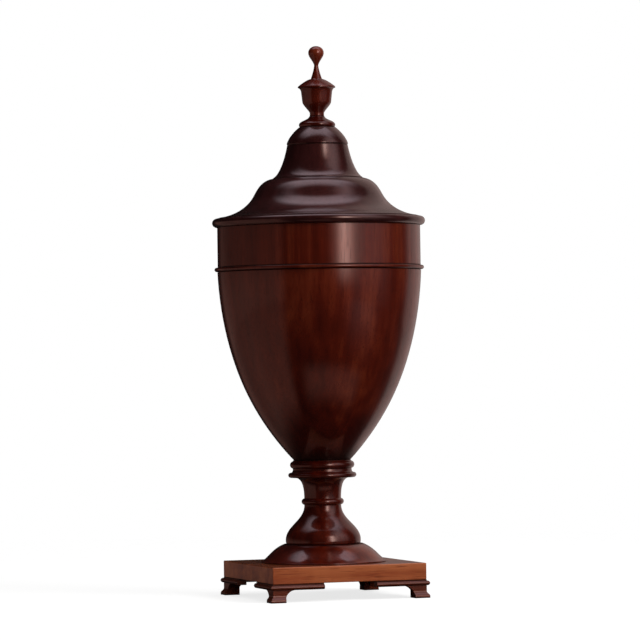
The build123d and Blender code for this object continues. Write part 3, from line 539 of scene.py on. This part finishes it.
def finished(name, form):
    """Makes a bmesh an evenly shaded object, and frees it."""
    mesh = bpy.data.meshes.new(name)
    form.to_mesh(mesh)
    form.free()
    for face in mesh.polygons:
        face.use_smooth = True
    mesh.set_sharp_from_angle(angle=math.radians(SHARP))
    piece = bpy.data.objects.new(name, mesh)
    bpy.context.scene.collection.objects.link(piece)
    weighted = piece.modifiers.new("even shading", "WEIGHTED_NORMAL")
    weighted.keep_sharp = True
    return piece


def eased(node, width):
    """Copies a sawn node and eases its edges, as a piece that stands for it."""
    form = bmesh.new()
    form.from_mesh(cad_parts[node].data)
    bmesh.ops.remove_doubles(form, verts=form.verts, dist=WELD)
    bmesh.ops.dissolve_limit(form, angle_limit=math.radians(FLAT), verts=form.verts,
                             edges=form.edges)
    sharp = [edge for edge in form.edges
             if edge.is_manifold and edge.calc_face_angle() > math.radians(SHARP)]
    bmesh.ops.bevel(form, geom=sharp, offset=width, affect="EDGES", segments=EASED_STEPS,
                    profile=0.5, material=-1, clamp_overlap=False)
    return finished(f"eased_{node}", form)


def spun(node):
    """Spins a turned node's own outline into a smooth piece that stands for it.

    Its outer faces take the first material, and those of the hollow the second.
    """
    shape = bpy.context.scene.urn_shape
    form = section_of(node)
    soften(form)
    bmesh.ops.spin(
        form, geom=[*form.verts, *form.edges], cent=(0, 0, 0), axis=(0, 0, 1),
        angle=FULL_TURN, steps=shape.facets, use_merge=True,
    )
    bmesh.ops.remove_doubles(form, verts=form.verts, dist=POLE_WELD)
    bmesh.ops.recalc_face_normals(form, faces=form.faces)
    for face in form.faces:
        middle = face.calc_center_median().xy
        face.material_index = int(face.normal.xy.dot(middle) < FACES_IN * middle.length)
    return finished(f"turned_{node}", form)


def set_on(piece, body, slot, node, *materials):
    """Lets a piece ride on its body, stand for its node and take its finish."""
    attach(piece, body)
    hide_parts(node)
    for material in materials:
        piece.data.materials.append(material)


def ends_of(node, width=WAX_AND_SHADE_WIDTH):
    """The heights of a node's two ends, where old wax and painted shade gather."""
    low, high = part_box(node)
    return (low.z, width), (high.z, width)


def foot_of(node, width=WAX_AND_SHADE_WIDTH):
    """The height of a node's lower end."""
    return ends_of(node, width)[:1]


def head_of(node, width=WAX_AND_SHADE_WIDTH):
    """The height of a node's upper end."""
    return ends_of(node, width)[1:]


def tones_of(part):
    """The dark, middle and light tones of one of the woods."""
    colours = bpy.context.scene.urn_colours
    return [tuple(getattr(colours, f"{part}_{depth}")) for depth in ("dark", "mid", "light")]


# Operators, one for each group of pieces

class URN_OT_stand(bpy.types.Operator):
    """Finish the square slab, its four bracket feet and the blocks behind them"""

    bl_idname = "urn.stand"
    bl_label = "Stand"

    def execute(self, context):
        slab = wood("slab_wood", tones_of("stand"), lengthwise, (0.31, 0.06, 0.4), contrast=1.7)
        easing = context.scene.urn_shape.slab_easing
        set_on(eased("plinth_slab", easing), "body", "stand", "plinth_slab", slab)
        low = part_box("plinth_slab")[0].z
        # The feet's tones are painted shade, and they darken more under the slab and at the floor:
        # old wax and painted shade
        foot = wood("foot_wood", tones_of("foot"), framed, (0.22, -0.09, 1.3),
                    creases=((low, 0.0028), (0.0, 0.0022)), polish=0.9)
        for corner in ("front_left", "front_right", "rear_right", "rear_left"):
            finish_with(f"bracket_foot_{corner}", foot)
        block = wood("block_wood", tones_of("foot"), upright, (0.15, 0.1, 0.0), polish=0.0,
                     depth=0.25)
        finish_with("corner_blocks", block)
        return {"FINISHED"}


class URN_OT_socle(bpy.types.Operator):
    """Turn the spreading foot, the stem of the socle and the collar under the bowl"""

    bl_idname = "urn.socle"
    bl_label = "Socle"

    def execute(self, context):
        places = (
            ("spreading_foot", (0.21, 0.33, 0.7), 0.12),
            ("socle_stem", (0.17, 0.12, 2.1), 0.24),
            ("socle_collar", (0.25, -0.14, 3.3), 0.32),
        )
        for node, shift, depth in places:
            material = wood(f"{node}_wood", tones_of("body"), upright, shift, creases=ends_of(node),
                            contrast=1.7, depth=depth)
            set_on(spun(node), "body", "vase", node, material, material)
        return {"FINISHED"}


class URN_OT_vase(bpy.types.Operator):
    """Turn the bowl, the bead and the straight band above it"""

    bl_idname = "urn.vase"
    bl_label = "Vase"

    def execute(self, context):
        places = (
            # Each piece is darkened by its depth and lightened back above the bowl's foot, and the
            # bowl's foot takes a wide band of the wax colour: painted shade low on the bowl
            ("bowl", (0.24, 0.19, 0.0), foot_of("bowl", 0.020), 0.34),
            ("astragal_bead", (0.20, -0.11, 1.7), ends_of("astragal_bead", 0.0022), 0.36),
            ("frieze_band", (0.33, 0.07, 2.6), foot_of("frieze_band", 0.0016), 0.42),
        )
        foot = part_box("bowl")[0].z
        inside = wood("vase_inside_wood", tones_of("body"), upright, (0.2, 0.1, 6.1), polish=0.15,
                      contrast=1.35)
        for node, shift, creases, depth in places:
            material = wood(f"{node}_wood", tones_of("body"), upright, shift, creases=creases,
                            contrast=1.35, depth=depth,
                            painted_light_steps=((foot, foot + VASE_PAINTED_SHADE, PAINTED_LIGHT_AMOUNT),))
            set_on(spun(node), "body", "vase", node, material, inside)
        return {"FINISHED"}


class URN_OT_lid(bpy.types.Operator):
    """Turn the lid: lip, shoulder, bell, cap and the ring that drops into the mouth"""

    bl_idname = "urn.lid"
    bl_label = "Lid"

    def execute(self, context):
        places = (
            ("lid_rim", (0.14, 0.21, 0.9), head_of),
            ("lid_shoulder", (0.28, 0.12, 1.9), head_of),
            ("lid_bell", (0.19, -0.17, 2.7), ends_of),
            ("lid_cap", (0.23, 0.15, 3.9), ends_of),
        )
        inside = wood("lid_inside_wood", tones_of("body"), upright, (0.1, 0.2, 7.3), polish=0.15,
                      contrast=1.35)
        for node, shift, darkened_ends in places:
            material = wood(f"{node}_wood", tones_of("lid"), upright, shift, creases=darkened_ends(node))
            set_on(spun(node), "lid", "lid", node, material, inside)
        return {"FINISHED"}


class URN_OT_finial(bpy.types.Operator):
    """Turn the finial and the ring it stands on"""

    bl_idname = "urn.finial"
    bl_label = "Finial"

    def execute(self, context):
        # The finial is lighter near its top: a painted highlight
        low, high = (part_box("finial")[1].z - drop for drop in FINIAL_PAINTED_HIGHLIGHT)
        for node, shift, depth in (("finial_ring", (0.12, 0.2, 4.4), 0.30),
                                   ("finial", (0.16, -0.1, 5.2), 0.10)):
            material = wood(f"{node}_wood", tones_of("body"), upright, shift, creases=ends_of(node),
                            depth=depth, painted_light_steps=((low, high, PAINTED_LIGHT_AMOUNT),))
            set_on(spun(node), "lid", "lid", node, material, material)
        return {"FINISHED"}


class URN_OT_tiers(bpy.types.Operator):
    """Finish the tiers, the hoops between them and their light lines"""

    bl_idname = "urn.tiers"
    bl_label = "Tiers"

    def execute(self, context):
        for number, node in enumerate(("outer_tier_board", "middle_tier_board", "inner_tier_board",
                                       "middle_riser", "inner_riser", "guide_block")):
            grain = lengthwise if "board" in node else upright
            shift = (0.2 + 0.05 * number, 0.1, 0.6 * number)
            finish_with(node, wood(f"{node}_wood", tones_of("inner"), grain, shift, polish=0.35,
                                   contrast=1.8))
        pale = context.scene.urn_colours.line_tone
        lines = wood("boxwood", [tuple(pale * level) for level in LINE_TONES], upright,
                     (0.1, 0.1, 0.0), polish=0.6, contrast=0.4)
        finish_with("tier_stringing", lines)
        return {"FINISHED"}


class URN_OT_lift(bpy.types.Operator):
    """Finish the stem, guide, catch, plates and screws that raise and hold the lid"""

    bl_idname = "urn.lift"
    bl_label = "Lift"

    def execute(self, context):
        colours = context.scene.urn_colours
        for node in ("lid_stem", "head_plate", "locating_ring"):
            finish_with(node, wood(f"{node}_wood", tones_of("inner"), upright, (0.12, 0.08, 1.1),
                                   polish=0.35, contrast=1.8))
        brass = metal("aged_brass", tuple(colours.brass_tone), tuple(colours.tarnish))
        for node in ("guide_plate", "guide_plate_screws", "head_plate_screws", "stop_plate",
                     "stop_screw"):
            finish_with(node, brass)
        steel = metal("filed_steel", tuple(colours.steel_tone), tuple(colours.rust), brushed=0.05)
        for node in ("fixing_washer", "fixing_screw", "catch_pin", "catch_spring",
                     "catch_spring_screw", "spring_catch"):
            finish_with(node, steel)
        return {"FINISHED"}


def toward(turn, height, distance):
    """A point round the urn: turn is in degrees from the camera's side, right being positive."""
    studio = bpy.context.scene.urn_studio
    angle = studio.camera_turn + math.radians(turn)
    return Vector((math.sin(angle) * distance, -math.cos(angle) * distance, height))


def lamp(name, turn, height, distance, width, tall, power):
    """A soft box that faces the urn."""
    light = bpy.data.lights.new(name, "AREA")
    light.shape = "RECTANGLE"
    light.size = width
    light.size_y = tall
    light.energy = power
    light.color = LAMP_TINT
    box = bpy.data.objects.new(name, light)
    box.location = toward(turn, height, distance)
    box.visible_camera = False
    box.visible_glossy = False
    facing = Vector((0, 0, LAMP_AIM)) - box.location
    box.rotation_mode = "QUATERNION"
    box.rotation_quaternion = facing.to_track_quat("-Z", "Y")
    bpy.context.scene.collection.objects.link(box)


def from_camera(x, y):
    """How far a place or a direction lies towards the camera, and how far to its right."""
    return [x * side.x + y * side.y for side in (toward(0, 0, 1), toward(90, 0, 1))]


def darker_behind(turn):
    """How the wall on the left darkens towards the rear."""
    return turn.above(*WALL_DARK_END).between(WALL_DARKEST, 1.0)


def floor_patches(turn, out):
    """What polish mirrors of the floor: where each patch lies, and its colour."""
    colours = bpy.context.scene.urn_colours
    return (
        (out.band(*FRONT_OUT) * turn.band(*FRONT_TURN), colours.wall_tone * FRONT_LEVEL),
        (turn.band(*RIGHT_TURN) * out.above(*RIGHT_OUT), colours.screen_tone * RIGHT_LEVEL),
        (turn.band(*LEFT_TURN) * out.above(*LEFT_OUT) * darker_behind(turn),
         colours.wall_tone * LEFT_LEVEL),
        (turn.above(*BACK_TURN) * out.above(*BACK_OUT), colours.backdrop_tone * BACK_LEVEL),
    )


def floor_paper():
    """White paper that fades out, takes the urn's shadow, and looks darker in polish."""
    studio, colours = bpy.context.scene.urn_studio, bpy.context.scene.urn_colours
    material, nodes = new_material("floor_paper")
    x, y, _ = nodes.place()
    ahead, right = from_camera(x, y)
    out = (x * x + y * y) ** 0.5
    patches = floor_patches(right.degrees_from(ahead), out)
    seen, glossy = nodes.ray("Camera"), nodes.ray("Glossy")
    tones = []
    for channel in range(3):
        mirrored = sum(mask * colour[channel] for mask, colour in patches)
        bounce = glossy.between(studio.floor_bounce, studio.floor_mirrored + mirrored)
        tones.append(seen.between(bounce, colours.floor_tone[channel]))
    paper = nodes.add("ShaderNodeBsdfDiffuse", None, {"Color": nodes.vector(*tones)})
    white = nodes.add("ShaderNodeEmission", None, {"Strength": FLOOR_GLOW})
    lit = nodes.add("ShaderNodeMixShader", None, {0: seen * FLOOR_GLOW_SHARE, 1: paper, 2: white})
    fade = seen * out.above(*(studio.floor_radius * part for part in FLOOR_FADE))
    clear = nodes.add("ShaderNodeBsdfTransparent")
    nodes.surface("ShaderNodeMixShader", {0: fade, 1: lit, 2: clear})
    return material


def surroundings(ahead, right, up):
    """What polish mirrors all round: where each light or wall stands, and its colour."""
    studio, colours = bpy.context.scene.urn_studio, bpy.context.scene.urn_colours
    turn = right.degrees_from(ahead)
    over = ahead.degrees_from(up)
    rise = up.calc("ARCSINE") * math.degrees(1)
    peak = turn.above(*STRIP_NEAR) * (1.0 - turn.above(*STRIP_FAR))
    strip = (peak * STRIP_HALO + peak ** STRIP_CORE) * rise.band(*STRIP_RISE)
    screen = turn.band(*SCREEN_TURN) * rise.above(*SCREEN_FOOT) * (1.0 - rise.above(*SCREEN_TOP))
    overhead = over.band(*OVERHEAD_TURN) * (1.0 - abs(right).above(*OVERHEAD_SIDES))
    overhead = overhead * up.above(*OVERHEAD_FOOT)
    backdrop = turn.above(*BACKDROP_TURN) * (1.0 - turn.above(*BACKDROP_BEHIND) * BACKDROP_LOST)
    backdrop = backdrop * rise.band(*BACKDROP_RISE)
    wall = turn.band(*WALL_TURN) * (1.0 - up.above(*WALL_TOP)) * up.above(*WALL_FOOT)
    return (
        (strip, colours.strip_tone * studio.strip),
        (screen, colours.screen_tone * studio.screen),
        (overhead, colours.overhead_tone * studio.overhead),
        (backdrop, colours.backdrop_tone),
        (wall * darker_behind(turn), colours.wall_tone),
    )


class URN_OT_studio(bpy.types.Operator):
    """Set the floor, the lamps, the white surroundings and the camera"""

    bl_idname = "urn.studio"
    bl_label = "Studio"

    def execute(self, context):
        self.set_floor(context)
        self.set_world(context)
        self.set_lamps()
        self.set_camera(context)
        context.scene.view_settings.view_transform = "Standard"
        return {"FINISHED"}

    def set_floor(self, context):
        """A round sheet of paper under the feet."""
        disc = bmesh.new()
        bmesh.ops.create_circle(disc, cap_ends=True, segments=FLOOR_SIDES,
                                radius=context.scene.urn_studio.floor_radius)
        mesh = bpy.data.meshes.new("floor")
        disc.to_mesh(mesh)
        disc.free()
        floor = bpy.data.objects.new("floor", mesh)
        context.scene.collection.objects.link(floor)
        mesh.materials.append(floor_paper())

    def set_world(self, context):
        """White for the camera and through glass, patches for polish, and a soft fill."""
        studio = context.scene.urn_studio
        world = bpy.data.worlds.new("studio")
        world.use_nodes = True
        context.scene.world = world
        nodes = Nodes(world.node_tree)
        x, y, up = nodes.parts(nodes.add("ShaderNodeTexCoord", output="Generated"))
        ahead, right = from_camera(x, y)
        soft = studio.fill * (1.0 + studio.lean * (ahead * FILL_AHEAD + right * FILL_RIGHT))
        white = nodes.ray("Camera").larger(nodes.ray("Transmission"))
        glossy = nodes.ray("Glossy")
        patches = surroundings(ahead, right, up)
        levels = []
        for channel in range(3):
            mirrored = sum(mask * light[channel] for mask, light in patches) + studio.shade
            levels.append(white.between(glossy.between(soft, mirrored), 1.0))
        background = nodes.add("ShaderNodeBackground", None, {"Color": nodes.vector(*levels)})
        nodes.add("ShaderNodeOutputWorld", None, {"Surface": background})

    def set_lamps(self):
        """A large lamp on the right and one overhead."""
        lamp("key", turn=56, height=1.3, distance=1.7, width=0.8, tall=0.8, power=18)
        lamp("top", turn=8, height=2.3, distance=0.5, width=1.4, tall=1.2, power=7)

    def set_camera(self, context):
        """The photograph's own view: its side, height, lens and lean."""
        studio = context.scene.urn_studio
        lens = bpy.data.cameras.new("camera")
        lens.lens = studio.lens
        camera = bpy.data.objects.new("camera", lens)
        camera.location = toward(0, studio.camera_height, studio.camera_distance)
        facing = Vector((0, 0, studio.aim_height)) - camera.location
        turn = facing.to_track_quat("-Z", "Y").to_matrix()
        camera.rotation_euler = (turn @ Matrix.Rotation(studio.camera_roll, 3, "Z")).to_euler()
        context.scene.collection.objects.link(camera)
        context.scene.camera = camera


OPERATORS = (
    URN_OT_stand, URN_OT_socle, URN_OT_vase, URN_OT_lid, URN_OT_finial, URN_OT_tiers,
    URN_OT_lift, URN_OT_studio,
)


class URN_PT_panel(bpy.types.Panel):
    """Buttons for each group of pieces, and the sizes and colours"""

    bl_label = "Knife urn"
    bl_idname = "URN_PT_panel"
    bl_space_type = "VIEW_3D"
    bl_region_type = "UI"
    bl_category = "Knife urn"

    def draw(self, context):
        for operator in OPERATORS:
            self.layout.operator(operator.bl_idname)
        for group in (context.scene.urn_shape, context.scene.urn_colours,
                      context.scene.urn_studio):
            box = self.layout.box()
            for name in group.__annotations__:
                box.prop(group, name)


CLASSES = (UrnShape, UrnColours, UrnStudio, *OPERATORS, URN_PT_panel)


def register():
    """Adds the classes and the settings of a scene."""
    for made in CLASSES:
        bpy.utils.register_class(made)
    bpy.types.Scene.urn_shape = PointerProperty(type=UrnShape)
    bpy.types.Scene.urn_colours = PointerProperty(type=UrnColours)
    bpy.types.Scene.urn_studio = PointerProperty(type=UrnStudio)


def unregister():
    """Takes them away again."""
    del bpy.types.Scene.urn_studio
    del bpy.types.Scene.urn_colours
    del bpy.types.Scene.urn_shape
    for made in reversed(CLASSES):
        bpy.utils.unregister_class(made)


def main():
    """Builds the urn and its stage."""
    register()
    bpy.ops.urn.stand()
    bpy.ops.urn.socle()
    bpy.ops.urn.vase()
    bpy.ops.urn.lid()
    bpy.ops.urn.finial()
    bpy.ops.urn.tiers()
    bpy.ops.urn.lift()
    bpy.ops.urn.studio()


if __name__ == "__main__":
    main()
